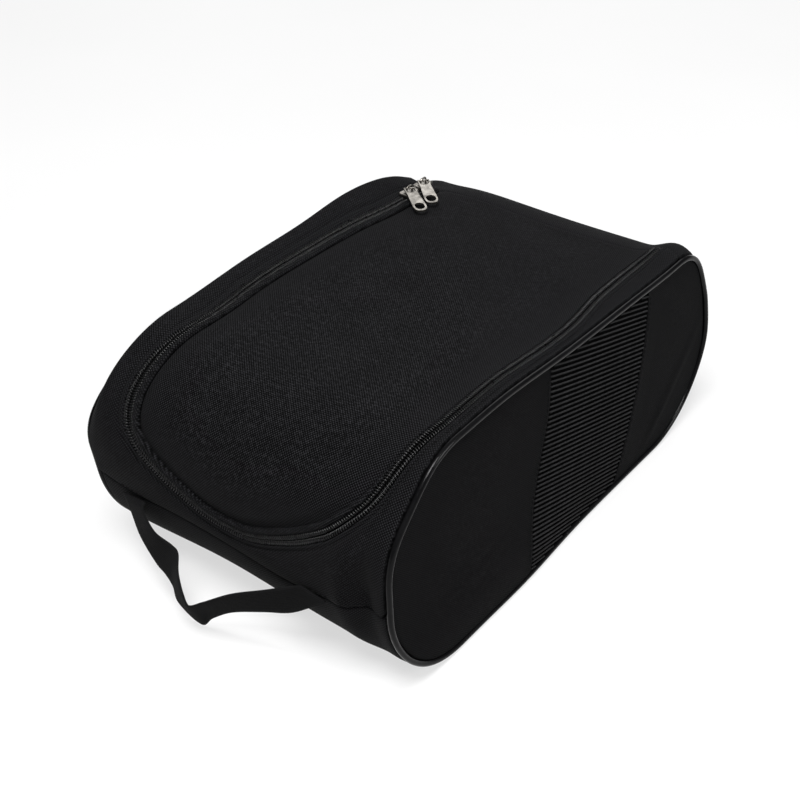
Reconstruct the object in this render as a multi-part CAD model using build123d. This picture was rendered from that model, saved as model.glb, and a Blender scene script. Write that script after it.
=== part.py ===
from build123d import *
import os

# Golf shoe bag: a padded zip-around bag that stands on its long flat bottom.
# X runs across the bag, Y along it (front, with the handle, at -Y), Z up.
# The origin is the centre of the flat bottom. Everything is in millimetres.

# ---- driving dimensions ----
LENGTH = 340.0
FRONT_HEIGHT = 144.6          # height of the side outline at the front, before rounding
REAR_HEIGHT = 133.5           # the same at the rear: the top slopes down to the hinge
FRONT_RADIUS = 62.0
REAR_TOP_RADIUS = 48.0
REAR_BOTTOM_RADIUS = 64.0
GUSSET_HALF_WIDTH = 106.2     # the band of fabric that wraps round between the two sides

# wall layers, as depths below the outer surface
FABRIC = (0.0, 1.2)
FOAM = (1.3, 4.3)
LINING = (4.4, 5.2)
BOARD = (1.3, 2.8)
BOTTOM_FOAM = (2.9, 4.3)

# zip: a coil zip laid in a U round the lid
ZIP_LEFT_X = (-85.0, -83.0)   # at the front and at the rear
ZIP_RIGHT_X = (95.0, 87.0)
ZIP_LEG_Y = (-106.0, 120.0)   # where those widths are measured
ZIP_FRONT_Z = 70.0
ZIP_LEFT_RADIUS = 58.0
ZIP_RIGHT_RADIUS = 88.0
COIL = (-0.8, 1.2)
TAPE = (1.3, 2.1)
COIL_INNER = 0.7              # half of the gap between the two rows of coils
COIL_OUTER = 3.9
TAPE_INNER = 0.6
TAPE_OUTER = 13.0
FABRIC_EDGE = 4.1             # where the fabric stops, each side of the zip line
WELT_END = 10.5               # the lid's turned edge lies from FABRIC_EDGE to here
WELT = (-0.5, 1.2)
FOAM_EDGE = 14.0
LINING_EDGE = 2.0

# seams
HINGE_SEAM_Y = 126.0
FOLD_Y = 60.0                 # the line the open lid folds back on
FOLD_GAP = 0.15
FRONT_SEAM_Z = 57.0
FRONT_CORNER_Y = -108.0       # the bottom panel lies between these two corners
REAR_CORNER_Y = 106.0
BOTTOM_CUT_Z = 30.0           # a height that clears the bottom panel's layers
TOP_CUT_Z = 60.0              # a height well below the lid and the rear corner's top
SEAM_GAP = 0.1
HINGE_BINDING = (5.3, 6.5)    # depths of the bound seam behind the hinge line
HINGE_BINDING_REACH = 8.0
ZIP_END_LENGTH = 1.0          # the last of the tape, where the foam stops short

# sides
SIDE_FABRIC_X = (106.6, 107.8)
SIDE_MESH_X = (106.5, 107.6)
SIDE_FOAM_X = (103.4, 106.4)
SIDE_LINING_X = (102.5, 103.3)
SIDE_EDGE_INSET = 3.9
PIPING_RADIUS = 1.8
PIPING_X = 108.2
PIPING_INSET = 2.0
BINDING_X = (100.3, 102.3)
BINDING_INSET = (5.3, 7.5)
SIDE_LAYER_INSET = 5.4        # the side's foam and lining fit inside the band's lining
MESH_FRONT_EDGE = ((-20, 150), (-22, 112), (-33, 72), (-41, 35), (-44, -10))
MESH_REAR_EDGE = ((88, 150), (86, 112), (78, 70), (67, 32), (52, -10))
MESH_SEAM_GAP = 0.15
MESH_MIDDLE_Y = 20.0

# handle: one length of webbing in a loop, sewn into the front seam at both ends.
# Each station is the middle of the webbing, then the way its width runs.
STRAP_WIDTH = 22.0
STRAP_THICKNESS = 1.8
STRAP_STATIONS = (
    ((-79, -171.9, 57), (20, -1, 2)),
    ((-77, -173, 49), (18, -5, 11)),
    ((-68, -175.5, 37), (17, -3, 14)),
    ((-53, -178, 31), (12.5, 3, 18)),
    ((-43, -181.5, 31), (10, 3, 19)),
    ((-35, -187, 27), (11, -4, 19)),
    ((-28, -191, 19), (12, -6, 17.5)),
    ((-18, -191, 12), (0, -8, 20.5)),
    ((-8, -189.5, 20), (3, -8.5, 20)),
    ((8, -185.5, 31), (6, -5, 20.5)),
    ((27, -179, 38), (5, -3, 21)),
    ((44, -174.5, 45), (1, -2, 21)),
    ((58, -171.9, 55), (-17, -1, 4)),
)
TAIL_LENGTH = 15.0

# sliders and their pulls
SLIDER_Y = {"front": 100.5, "rear": 115.5}
PULL_YAW = {"front": 54.0, "rear": 50.0}
SLIDER_LENGTH = 13.0
SLIDER_HALF_WIDTH = 5.0
SLIDER_TOP = (1.1, 2.6)
SLIDER_BOTTOM = (-3.9, -2.4)
SLIDER_WAIST = 0.8            # the plates' half width at the middle, as a share of the front's
SLIDER_TAIL = 0.72            # the same at the rear
SLIDER_CORNER_RADIUS = 2.0
SLIDER_EDGE_RADIUS = 0.6
POST_X = 3.4
POST_LENGTH = 4.0
POST_THICKNESS = 0.8
POST_SINK = 0.5               # how far the post and the bridge run into the plates
BRIDGE_LEG_X = 2.8
BRIDGE_TOP_Z = 6.2
BRIDGE_RADIUS = 0.65
BRIDGE_BEND = 1.4
PULL_HEIGHT = 4.6             # height of the pull's crossbar above the lid's surface
PULL_LENGTH = 31.0
PULL_THICKNESS = 1.4
PULL_TILT = 4.0
EYE_HALF_WIDTH = 3.9
EYE_HOLE_HALF_WIDTH = 3.1
EYE_HOLE_END = 6.8
WAIST_X = 8.4
WAIST_HALF_WIDTH = 3.7
TIP_HALF_WIDTH = 4.5
TIP_HOLE_LENGTH = 8.2
TIP_HOLE_WIDTH = 6.4
TIP_HOLE_X = 25.2
TIP_LENGTH = 5.5              # from the pull's widest point to its end
TIP_TAPER = 1.0
TIP_RADIUS = 3.2
SHOULDER_RADIUS = 2.0
EYE_HOLE_RADIUS = 2.6

FAR = 400.0
HALF_LENGTH = LENGTH / 2
TOP_SLOPE = (REAR_HEIGHT - FRONT_HEIGHT) / LENGTH


def top_z(y):
    """Height of the flat part of the top at this y."""
    return FRONT_HEIGHT + TOP_SLOPE * (y + HALF_LENGTH)


def leg_x(ends, y):
    """x of a leg of the zip at this y, from its x at the front and at the rear."""
    run = (y - ZIP_LEG_Y[0]) / (ZIP_LEG_Y[1] - ZIP_LEG_Y[0])
    return ends[0] + run * (ends[1] - ends[0])


def side_outline(inset):
    """The bag's outline seen from the side, as a sketch of (y, z), moved in by inset."""
    corners = (
        (-HALF_LENGTH, 0),
        (HALF_LENGTH, 0),
        (HALF_LENGTH, REAR_HEIGHT),
        (-HALF_LENGTH, FRONT_HEIGHT),
    )
    outline = Polygon(*corners, align=None)
    outline = fillet(outline.vertices().sort_by(Axis.X)[:2], FRONT_RADIUS)
    outline = fillet(outline.vertices().filter_by(lambda v: v.X > HALF_LENGTH - 1).sort_by(Axis.Y)[0],
                     REAR_BOTTOM_RADIUS)
    outline = fillet(outline.vertices().filter_by(lambda v: v.X > HALF_LENGTH - 1).sort_by(Axis.Y)[-1],
                     REAR_TOP_RADIUS)
    if inset:
        outline = offset(outline, amount=-inset)
    return outline


def slab(sketch, x_start, x_end):
    """A (y, z) sketch made solid from x_start to x_end."""
    return extrude(Plane.YZ.offset(x_start) * sketch, amount=x_end - x_start, dir=(1, 0, 0))


def layer(depths):
    """One layer of the wall, all the way round, between the two sides."""
    outer, inner = depths
    ring = side_outline(outer) - side_outline(inner)
    return slab(ring, -GUSSET_HALF_WIDTH, GUSSET_HALF_WIDTH)


def block(y_start, y_end, z_start=-FAR, z_end=FAR, x_start=-FAR, x_end=FAR):
    """A box given by its limits."""
    size = (x_end - x_start, y_end - y_start, z_end - z_start)
    return Pos((x_start + x_end) / 2, (y_start + y_end) / 2, (z_start + z_end) / 2) * Box(*size)


def lid_zone(grow, y_start=-FAR, y_end=HINGE_SEAM_Y):
    """The space inside the zip's U, grown by grow, from y_start to y_end."""
    left = ZIP_LEFT_X[0] - grow
    right = ZIP_RIGHT_X[0] + grow
    front = Pos((left + right) / 2, ZIP_FRONT_Z - grow + FAR / 2) * Rectangle(right - left, FAR)
    front = fillet(front.vertices().sort_by(Axis.Y)[:2].sort_by(Axis.X)[0], ZIP_LEFT_RADIUS + grow)
    front = fillet(front.vertices().sort_by(Axis.X)[-2:].sort_by(Axis.Y)[0], ZIP_RIGHT_RADIUS + grow)
    plan = Polygon(
        (leg_x(ZIP_LEFT_X, -FAR) - grow, -FAR),
        (leg_x(ZIP_RIGHT_X, -FAR) + grow, -FAR),
        (leg_x(ZIP_RIGHT_X, FAR) + grow, FAR),
        (leg_x(ZIP_LEFT_X, FAR) - grow, FAR),
        align=None,
    )
    tunnel = extrude(Plane.XZ * front, amount=FAR, both=True)
    column = extrude(plan, amount=FAR, dir=(0, 0, 1))
    return tunnel & column & block(y_start, y_end)


def lid_ring(outer, inner, y_start, y_end):
    """A band that follows the zip, between two distances from its line."""
    return lid_zone(outer, y_start, y_end) - lid_zone(inner, y_start, y_end)


def gusset_regions():
    """The four panels of the band round the bag, as cutting solids."""
    rear = block(HINGE_SEAM_Y + SEAM_GAP, FAR, TOP_CUT_Z)
    rear += block(REAR_CORNER_Y + SEAM_GAP, FAR, -FAR, TOP_CUT_Z)
    return {
        "surround": block(-FAR, HINGE_SEAM_Y, FRONT_SEAM_Z + SEAM_GAP),
        "front_panel": block(-FAR, FRONT_CORNER_Y - SEAM_GAP, -FAR, FRONT_SEAM_Z),
        "bottom": block(FRONT_CORNER_Y, REAR_CORNER_Y, -FAR, BOTTOM_CUT_Z),
        "rear_panel": rear,
    }


def make_gusset():
    """The outer fabric, foam, board and lining that wrap round the bag."""
    regions = gusset_regions()
    above_bottom = block(-FAR, HINGE_SEAM_Y, BOTTOM_CUT_Z)
    parts = {}
    fabric = layer(FABRIC)
    foam = layer(FOAM)
    for name, region in regions.items():
        parts[name + "_fabric"] = fabric & region
        if name != "bottom":
            parts[name + "_foam"] = foam & region
    fabric_cut = lid_zone(FABRIC_EDGE)
    foam_cut = lid_zone(FOAM_EDGE)
    parts["surround_fabric"] -= fabric_cut
    parts["surround_foam"] = parts["surround_foam"] - foam_cut - zip_end_space()
    parts["front_panel_foam"] = parts["front_panel_foam"] - foam_cut - strap_tails()
    parts["bottom_board"] = layer(BOARD) & regions["bottom"]
    parts["bottom_foam"] = layer(BOTTOM_FOAM) & regions["bottom"]
    parts["gusset_lining"] = layer(LINING) - (lid_zone(LINING_EDGE) & above_bottom)
    parts["handle_tails"] = strap_tails()
    return parts


def zip_end_space():
    """Room for the zip tapes where they run back to the hinge seam."""
    left = ZIP_LEFT_X[1] - FOAM_EDGE
    right = ZIP_RIGHT_X[1] + FOAM_EDGE
    return block(HINGE_SEAM_Y - ZIP_END_LENGTH, HINGE_SEAM_Y, TOP_CUT_Z, FAR, left, right)


def make_zip(prefix, side, y_start, y_end):
    """One half of the zip: side +1 is sewn to the bag, side -1 to the lid."""
    near_coil, far_coil = sorted((side * COIL_INNER, side * COIL_OUTER))
    near_tape, far_tape = sorted((side * TAPE_INNER, side * TAPE_OUTER))
    return {
        prefix + "_coil": layer(COIL) & lid_ring(far_coil, near_coil, y_start, y_end),
        prefix + "_tape": layer(TAPE) & lid_ring(far_tape, near_tape, y_start, y_end),
    }


def make_lid(prefix, y_start, y_end):
    """The padded lid between two stations: fabric, turned edge, foam and lining."""
    return {
        prefix + "_fabric": layer(FABRIC) & lid_zone(-WELT_END - SEAM_GAP, y_start, y_end),
        prefix + "_welt": layer(WELT) & lid_ring(-FABRIC_EDGE, -WELT_END, y_start, y_end),
        prefix + "_foam": layer(FOAM) & lid_zone(-FOAM_EDGE, y_start, y_end),
        prefix + "_lining": layer(LINING) & lid_zone(-LINING_EDGE, y_start, y_end),
    }


def hinge_seam():
    """The bound seam inside that joins the lid's back edge to the rear panel."""
    shell = side_outline(HINGE_BINDING[0]) - side_outline(HINGE_BINDING[1])
    reach = block(HINGE_SEAM_Y - HINGE_BINDING_REACH, HINGE_SEAM_Y + HINGE_BINDING_REACH, TOP_CUT_Z)
    return slab(shell, ZIP_LEFT_X[1] + FOAM_EDGE, ZIP_RIGHT_X[1] - FOAM_EDGE) & reach


def mesh_zone(grow):
    """The side's mesh insert, a leaning band with gently curved edges, as a (y, z) sketch."""
    front = [(y - grow, z) for y, z in MESH_FRONT_EDGE]
    rear = [(y + grow, z) for y, z in MESH_REAR_EDGE]
    edges = [
        Spline(*front),
        Line(front[-1], rear[-1]),
        Spline(*reversed(rear)),
        Line(rear[0], front[0]),
    ]
    return make_face(edges)


def make_side(side_name):
    """One side of the bag: three outer panels, foam, lining, piping and inner binding."""
    panel = side_outline(SIDE_EDGE_INSET)
    inner = side_outline(SIDE_LAYER_INSET)
    in_front = Pos(MESH_MIDDLE_Y - FAR, 0) * Rectangle(2 * FAR, 2 * FAR)
    behind = Pos(MESH_MIDDLE_Y + FAR, 0) * Rectangle(2 * FAR, 2 * FAR)
    outside_mesh = panel - mesh_zone(MESH_SEAM_GAP)
    shapes = {
        "side_front": slab(outside_mesh & in_front, *SIDE_FABRIC_X),
        "side_rear": slab(outside_mesh & behind, *SIDE_FABRIC_X),
        "side_mesh": slab(panel & mesh_zone(0), *SIDE_MESH_X),
        "side_foam": slab(inner, *SIDE_FOAM_X),
        "side_lining": slab(inner, *SIDE_LINING_X),
        "piping": piping(),
        "seam_binding": slab(side_outline(BINDING_INSET[0]) - side_outline(BINDING_INSET[1]), *BINDING_X),
    }
    if side_name == "left":
        shapes = {name: mirror(shape, about=Plane.YZ) for name, shape in shapes.items()}
    return {side_name + "_" + name: shape for name, shape in shapes.items()}


def piping():
    """The round cord in its glossy cover that edges the side."""
    path = Plane.YZ.offset(PIPING_X) * side_outline(PIPING_INSET)
    wire = path.face().outer_wire()
    start = Plane(origin=wire @ 0, z_dir=wire % 0)
    return sweep(start * Circle(PIPING_RADIUS), path=wire)


def strap_tails():
    """The two ends of the webbing, sewn between the front panel and its foam."""
    tails = Part()
    for (x, _, z), _ in (STRAP_STATIONS[0], STRAP_STATIONS[-1]):
        top = min(z, FRONT_SEAM_Z) - SEAM_GAP
        tails += block(-FAR, FRONT_CORNER_Y, top - TAIL_LENGTH, top,
                       x - STRAP_WIDTH / 2, x + STRAP_WIDTH / 2)
    return tails & layer((FOAM[0], FOAM[0] + STRAP_THICKNESS))


def handle_strap():
    """The loop of webbing: a flat strip that turns and leans as it goes round."""
    middles = [Vector(*middle) for middle, _ in STRAP_STATIONS]
    sections = []
    for index, (_, across) in enumerate(STRAP_STATIONS):
        before = middles[max(index - 1, 0)]
        after = middles[min(index + 1, len(middles) - 1)]
        along = (after - before).normalized()
        width = Vector(*across)
        facing = along.cross(width).normalized() * (STRAP_THICKNESS / 2)
        half = width * 0.5
        corners = [
            middles[index] - half - facing,
            middles[index] + half - facing,
            middles[index] + half + facing,
            middles[index] - half + facing,
        ]
        sections.append(corners)
    return Solid(Shell(strip_faces(sections)))


def strip_faces(sections):
    """The faces of a strip through four-cornered sections, two triangles to each side."""
    faces = [Face(Wire.make_polygon(sections[0])), Face(Wire.make_polygon(sections[-1]))]
    for near, far in zip(sections, sections[1:]):
        for corner in range(4):
            beside = (corner + 1) % 4
            faces.append(Face(Wire.make_polygon([near[corner], near[beside], far[beside]])))
            faces.append(Face(Wire.make_polygon([near[corner], far[beside], far[corner]])))
    return faces


def slider_place(y):
    """The slider's own frame: x forward along the zip, z out of the lid."""
    origin = (leg_x(ZIP_LEFT_X, y), y, top_z(y))
    ahead = (leg_x(ZIP_LEFT_X, y - 1), y - 1, top_z(y - 1))
    forward = Vector(*ahead) - Vector(*origin)
    normal = Vector(0, -TOP_SLOPE, 1)
    return Plane(origin=origin, x_dir=forward, z_dir=normal)


def slider():
    """A zip slider: two plates joined by a thin post, with a wire bridge on top."""
    half = SLIDER_LENGTH / 2
    outline = Polygon(
        (-half, -SLIDER_TAIL * SLIDER_HALF_WIDTH),
        (0, -SLIDER_WAIST * SLIDER_HALF_WIDTH),
        (half, -SLIDER_HALF_WIDTH),
        (half, SLIDER_HALF_WIDTH),
        (0, SLIDER_WAIST * SLIDER_HALF_WIDTH),
        (-half, SLIDER_TAIL * SLIDER_HALF_WIDTH),
        align=None,
    )
    outline = fillet(outline.vertices(), SLIDER_CORNER_RADIUS)
    plates = Part()
    for low, high in (SLIDER_TOP, SLIDER_BOTTOM):
        plates += Pos(0, 0, low) * extrude(outline, amount=high - low, dir=(0, 0, 1))
    rim = plates.edges().group_by(Axis.Z)[-1]
    plates = fillet(rim, SLIDER_EDGE_RADIUS)
    post_height = SLIDER_TOP[1] - SLIDER_BOTTOM[0] - 2 * POST_SINK
    post_middle = (SLIDER_TOP[1] + SLIDER_BOTTOM[0]) / 2
    post = Pos(POST_X, 0, post_middle) * Box(POST_LENGTH, POST_THICKNESS, post_height)
    foot = SLIDER_TOP[1] - POST_SINK
    path = FilletPolyline(
        (-BRIDGE_LEG_X, 0, foot),
        (-BRIDGE_LEG_X, 0, BRIDGE_TOP_Z),
        (BRIDGE_LEG_X, 0, BRIDGE_TOP_Z),
        (BRIDGE_LEG_X, 0, foot),
        radius=BRIDGE_BEND,
    )
    bridge = sweep(Plane(origin=path @ 0, z_dir=path % 0) * Circle(BRIDGE_RADIUS), path=path)
    return plates + post + bridge


def pull(yaw):
    """A flat metal tab with an eye at one end, a rounded hole at the other, and a flared body."""
    outline = Polygon(
        (0, -EYE_HALF_WIDTH),
        (EYE_HOLE_END - 1, -EYE_HALF_WIDTH),
        (WAIST_X, -WAIST_HALF_WIDTH),
        (PULL_LENGTH - TIP_LENGTH, -TIP_HALF_WIDTH),
        (PULL_LENGTH, TIP_TAPER - TIP_HALF_WIDTH),
        (PULL_LENGTH, TIP_HALF_WIDTH - TIP_TAPER),
        (PULL_LENGTH - TIP_LENGTH, TIP_HALF_WIDTH),
        (WAIST_X, WAIST_HALF_WIDTH),
        (EYE_HOLE_END - 1, EYE_HALF_WIDTH),
        (0, EYE_HALF_WIDTH),
        align=None,
    )
    outline = fillet(outline.vertices().sort_by(Axis.X)[-2:], TIP_RADIUS)
    shoulders = outline.vertices().sort_by(Axis.X)[2:6]
    outline = fillet(shoulders, SHOULDER_RADIUS)
    eye = Pos(EYE_HOLE_END / 2, 0) * Rectangle(EYE_HOLE_END, 2 * EYE_HOLE_HALF_WIDTH)
    eye = fillet(eye.vertices().sort_by(Axis.X)[-2:], EYE_HOLE_RADIUS)
    outline = outline - eye - Pos(TIP_HOLE_X, 0) * SlotOverall(TIP_HOLE_LENGTH, TIP_HOLE_WIDTH)
    plate = Pos(0, 0, -PULL_THICKNESS / 2) * extrude(outline, amount=PULL_THICKNESS, dir=(0, 0, 1))
    crossbar = Rot(90, 0, 0) * Cylinder(PULL_THICKNESS / 2, 2 * EYE_HALF_WIDTH)
    placed = Pos(0, 0, PULL_HEIGHT) * Rot(0, 0, yaw) * Rot(0, PULL_TILT, 0)
    return placed * (plate + crossbar)


def make_parts():
    """Every node of the bag, by name."""
    parts = make_gusset()
    parts.update(make_zip("body", 1, -FAR, HINGE_SEAM_Y))
    parts.update(make_lid("lid", -FAR, FOLD_Y - FOLD_GAP))
    parts.update(make_zip("lid", -1, -FAR, FOLD_Y - FOLD_GAP))
    parts.update(make_lid("lid_root", FOLD_Y + FOLD_GAP, HINGE_SEAM_Y))
    parts.update(make_zip("lid_root", -1, FOLD_Y + FOLD_GAP, HINGE_SEAM_Y))
    parts["hinge_seam_binding"] = hinge_seam()
    for side_name in ("right", "left"):
        parts.update(make_side(side_name))
    parts["handle_strap"] = handle_strap()
    for name, y in SLIDER_Y.items():
        place = slider_place(y)
        parts[name + "_slider"] = place * slider()
        parts[name + "_pull"] = place * pull(PULL_YAW[name])
    return parts


os.makedirs("parts", exist_ok=True)
for node, shape in make_parts().items():
    export_step(shape, os.path.join("parts", node + ".step"))
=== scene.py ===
import math

import bmesh
import bpy
import numpy as np
from mathutils import Matrix, Vector


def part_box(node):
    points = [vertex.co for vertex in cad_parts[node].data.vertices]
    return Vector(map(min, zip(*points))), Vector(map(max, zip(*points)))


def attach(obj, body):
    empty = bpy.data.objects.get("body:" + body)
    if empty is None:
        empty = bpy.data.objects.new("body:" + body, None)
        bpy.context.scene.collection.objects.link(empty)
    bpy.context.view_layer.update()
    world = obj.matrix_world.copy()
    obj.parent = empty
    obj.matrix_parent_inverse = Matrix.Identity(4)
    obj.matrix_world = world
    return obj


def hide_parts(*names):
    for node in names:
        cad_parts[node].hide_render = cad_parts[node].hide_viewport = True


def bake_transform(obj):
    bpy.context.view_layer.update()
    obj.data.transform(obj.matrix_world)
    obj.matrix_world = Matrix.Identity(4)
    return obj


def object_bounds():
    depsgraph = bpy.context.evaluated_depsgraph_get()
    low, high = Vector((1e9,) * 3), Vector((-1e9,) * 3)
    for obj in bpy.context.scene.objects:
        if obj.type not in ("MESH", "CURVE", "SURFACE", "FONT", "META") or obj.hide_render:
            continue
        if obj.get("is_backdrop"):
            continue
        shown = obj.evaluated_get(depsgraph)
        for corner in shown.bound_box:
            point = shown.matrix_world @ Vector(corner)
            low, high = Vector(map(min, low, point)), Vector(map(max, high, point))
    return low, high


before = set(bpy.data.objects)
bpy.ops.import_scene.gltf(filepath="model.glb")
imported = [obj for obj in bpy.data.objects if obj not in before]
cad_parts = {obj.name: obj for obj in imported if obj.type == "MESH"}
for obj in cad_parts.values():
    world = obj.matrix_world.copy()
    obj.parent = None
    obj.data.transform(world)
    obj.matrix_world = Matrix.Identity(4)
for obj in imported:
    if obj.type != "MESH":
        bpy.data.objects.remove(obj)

# Golf shoe bag. Sizes below are in millimetres in the CAD frame: X across, Y along, Z up.
CAD_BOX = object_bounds()
MM = 0.001


def box_mm(node):
    """Lowest and highest corner of a CAD node, in millimetres."""
    low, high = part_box(node)
    return np.array(low) / MM, np.array(high) / MM


# -------- sizes
HALF_LENGTH = box_mm("rear_panel_fabric")[1][1]
GUSSET_HALF = box_mm("surround_fabric")[1][0]
HINGE_SEAM_Y = box_mm("surround_fabric")[1][1]
SIDE_X = box_mm("right_side_front")[1][0]
PIPING_X = sum(box_mm("right_piping"))[0] / 2
FRONT_HEIGHT = 144.6
REAR_HEIGHT = 133.5
FRONT_RADIUS = 62.0
REAR_TOP_RADIUS = 48.0
REAR_BOTTOM_RADIUS = 64.0
BOTTOM_FRONT_Y = box_mm("bottom_fabric")[0][1]
BOTTOM_REAR_Y = box_mm("bottom_fabric")[1][1]

# the wall's layers: a depth is positive outwards from the bag's surface
PAD_DEPTH = 4.3
LINING_DEPTHS = (-4.6, -5.3)
TAPE_DEPTHS = (-1.3, -2.0)
INNER_HALF = 102.0            # half of the width inside

# distances beside the zip's line
TAPE_EDGES = (0.6, 13)
FABRIC_EDGE = 3.7
LINING_EDGE = 5.6
WELT_END = 6.6
STITCH_OFFSET = 2.8           # from the fabric's edge to its topstitching

# the sides: insets are from the bag's side outline
SIDE_EDGE_INSET = 3.9
PIPING_INSET = 2.0
PIPING_RADIUS = 1.9
SIDE_LINING_INSET = 5.6
SIDE_LINING_X = (103.3, 102.6)
END_GAP = 4.0                 # where the side lining's two halves stop short of each other
BINDING_SECTION = ((102.4, 5.3), (102.6, 6.6), (101.4, 7.8), (100.2, 6.6), (100.4, 5.3))
PANEL_THICKNESS = 1.2

# the zip's line: its two legs as (x, y) along the top, and its front run as (x, z)
ZIP_LEFT_LEG = ((-83, 126), (-82.7, 108), (-82.2, 90), (-82.4, 70), (-84, 46), (-85, 20),
                (-85.2, -10), (-85.2, -34), (-84.6, -56), (-82.6, -76), (-81, -95), (-80.2, -112))
ZIP_FRONT_RUN = ((-80.8, 128), (-80, 116), (-77, 105), (-71, 96.5), (-63, 90.5), (-53, 84.5),
                 (-38, 77.5), (-23, 72), (-8, 69.7), (7, 70), (20, 73.4), (32, 78.5),
                 (47, 85.8), (60, 93.6), (68.5, 99.5), (78, 109), (86, 119.5), (91, 131))
ZIP_RIGHT_LEG = ((96.4, -112), (96.8, -96), (96.6, -76), (96.2, -52), (96.6, -28), (97, -8),
                 (96.6, 12), (95.4, 27), (93.4, 41), (91.2, 57), (90, 78), (89.4, 100), (90, 126))
COIL_PITCH = 1.6
COIL_POINTS_PER_TURN = 10
COIL_MIDDLE = (1.75, 0.3)     # a row's offset from the zip's line, and its depth
COIL_HALF_SIZE = (1.2, 0.6)
COIL_THREAD_RADIUS = 0.36
LID_EDGE_SECTION = (
    (-3.3, -1.2), (-3.1, 0.5), (-3.7, 1.5), (-4.8, 1.9), (-6.0, 1.5), (-6.7, 0.3), (-6.9, -1.2))

# the seam under the zip, as (x, z)
FRONT_SEAM = ((-106.2, 64), (-79, 59), (-40, 58), (0, 55), (35, 52), (58, 54), (85, 57), (106.2, 62))

# the mesh insert's edges on the side, as (y, z)
MESH_FRONT_EDGE = ((-44, -10), (-41, 35), (-33, 72), (-22, 112), (-20, 150))
MESH_REAR_EDGE = ((52, -10), (67, 32), (78, 70), (86, 112), (88, 150))
MESH_LOW_Z = 4.2
MESH_HIGH_Z = 134
RIB_PITCH = 3.1
RIB_SLOPE = math.tan(math.radians(17))
THREAD_PITCH = 1.6

# the handle's webbing: the middle of each station, and the way its width runs
STRAP_STATIONS = (
    ((-79, -171.9, 57), (20, -1, 2)),
    ((-77, -173, 49), (18, -5, 11)),
    ((-68, -175.5, 37), (17, -3, 14)),
    ((-53, -178, 31), (12.5, 3, 18)),
    ((-43, -181.5, 31), (10, 3, 19)),
    ((-35, -187, 27), (11, -4, 19)),
    ((-28, -191, 19), (12, -6, 17.5)),
    ((-18, -191, 12), (0, -8, 20.5)),
    ((-8, -189.5, 20), (3, -8.5, 20)),
    ((8, -185.5, 31), (6, -5, 20.5)),
    ((27, -179, 38), (5, -3, 21)),
    ((44, -174.5, 45), (1, -2, 21)),
    ((58, -171.9, 55), (-17, -1, 4)),
)
STRAP_WIDTH = 22.0
STRAP_HALF_THICKNESS = 0.85

# where the real bag sags, swells or is drawn in: centre, reach and shift
SOFT_PULLS = (
    ((-103, 70, 142), (13, 60, 40), (-6, 0, 10)),        # left edge swells towards the rear
    ((-103, -30, 142), (13, 65, 40), (-3, 0, 5.5)),
    ((-100, 136, 135), (30, 22, 30), (0, -3, -7)),       # rear left corner drops
    ((-84, -80, 142), (14, 40, 30), (0, 0, -2)),         # the zip sinks on the left shoulder
    ((-62, 88, 139), (26, 30, 30), (0, 0, -2)),          # the lid lies low beside the sliders
    ((-104, -160, 100), (34, 36, 40), (-3.5, -3, 3)),    # left front shoulder is full
    ((102, -62, 141), (30, 45, 30), (0, 0, 3)),          # right edge stands up behind the corner
    ((108, -150, 124), (36, 24, 22), (0, 3, -3)),        # front right corner is drawn in
    ((96, 137, 132), (12, 26, 26), (0, 4, 6)),           # rear right corner stands up
    ((108, 164, 104), (30, 20, 26), (0, -4, -3)),
    ((90, 172, 58), (60, 20, 30), (0, 3, 0)),            # the rear swells low down
    ((20, 130, 134), (80, 34, 30), (0, -1, -4.5)),       # the rear of the lid sags
    ((0, 10, 140), (60, 80, 30), (0, 0, -2)),            # the lid sags between the sides
    ((-30, -168, 22), (52, 30, 30), (0, 4, 0)),          # the front is pushed in behind the handle
    ((106, -128, 4), (60, 52, 30), (3.4, -4.6, 0)),      # the foot of the front right corner spreads
    ((108, -50, 4), (40, 48, 26), (3.2, 0, 0)),
    ((91, -162, 62), (8, 30, 34), (0, 6.5, 0)),          # a deep fold beside the right piping
    ((78, -165, 50), (7, 30, 28), (0, -2.2, 0)),
)
LEFT_ROLL = 13.0              # how far the left edge rolls down, and where that starts and ends
LEFT_ROLL_X = (98, 108)
LEFT_ROLL_Z = (60, 128)

# the swell of the side panels, on the (y, z) plane
SIDE_SWELL = 2.6
SIDE_REACH_Y = 166.0
SIDE_MIDDLE_Z = 68.0
FOOT_SWELL = 3.6              # the low front part stands out further
FOOT_CENTRE = (-85, 22)
FOOT_REACH = (70, 26)
CREASE_HEIGHT = 2.1           # a soft ridge slopes up behind the mesh
CREASE_WIDTH = 4.5
CREASE_START = (88, 8)
CREASE_RUN = (72.0, 67.0)

CLOTH_FRAMES = 20


# -------- curves
def smooth(value, low, high):
    """0 below low, 1 above high, and a smooth step between them."""
    t = np.clip((value - low) / (high - low), 0, 1)
    return t * t * (3 - 2 * t)


def unit(vectors):
    """The vectors scaled to length 1."""
    return vectors / np.linalg.norm(vectors, axis=-1, keepdims=True)


def densify(points, step):
    """The same polyline with no gap longer than step."""
    dense = [points[0]]
    for near, far in zip(points, points[1:]):
        pieces = max(1, int(np.linalg.norm(far - near) / step))
        dense.extend(near + (far - near) * k / pieces for k in range(1, pieces + 1))
    return np.array(dense)


def run_length(line):
    """How far along the polyline each point is."""
    return np.r_[0, np.cumsum(np.linalg.norm(np.diff(line, axis=0), axis=1))]


def resample(line, step):
    """The polyline with evenly spaced points about step apart."""
    along = run_length(line)
    count = max(2, int(round(along[-1] / step)) + 1)
    even = np.linspace(0, along[-1], count)
    return np.stack([np.interp(even, along, line[:, k]) for k in range(line.shape[1])], axis=1)


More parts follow.
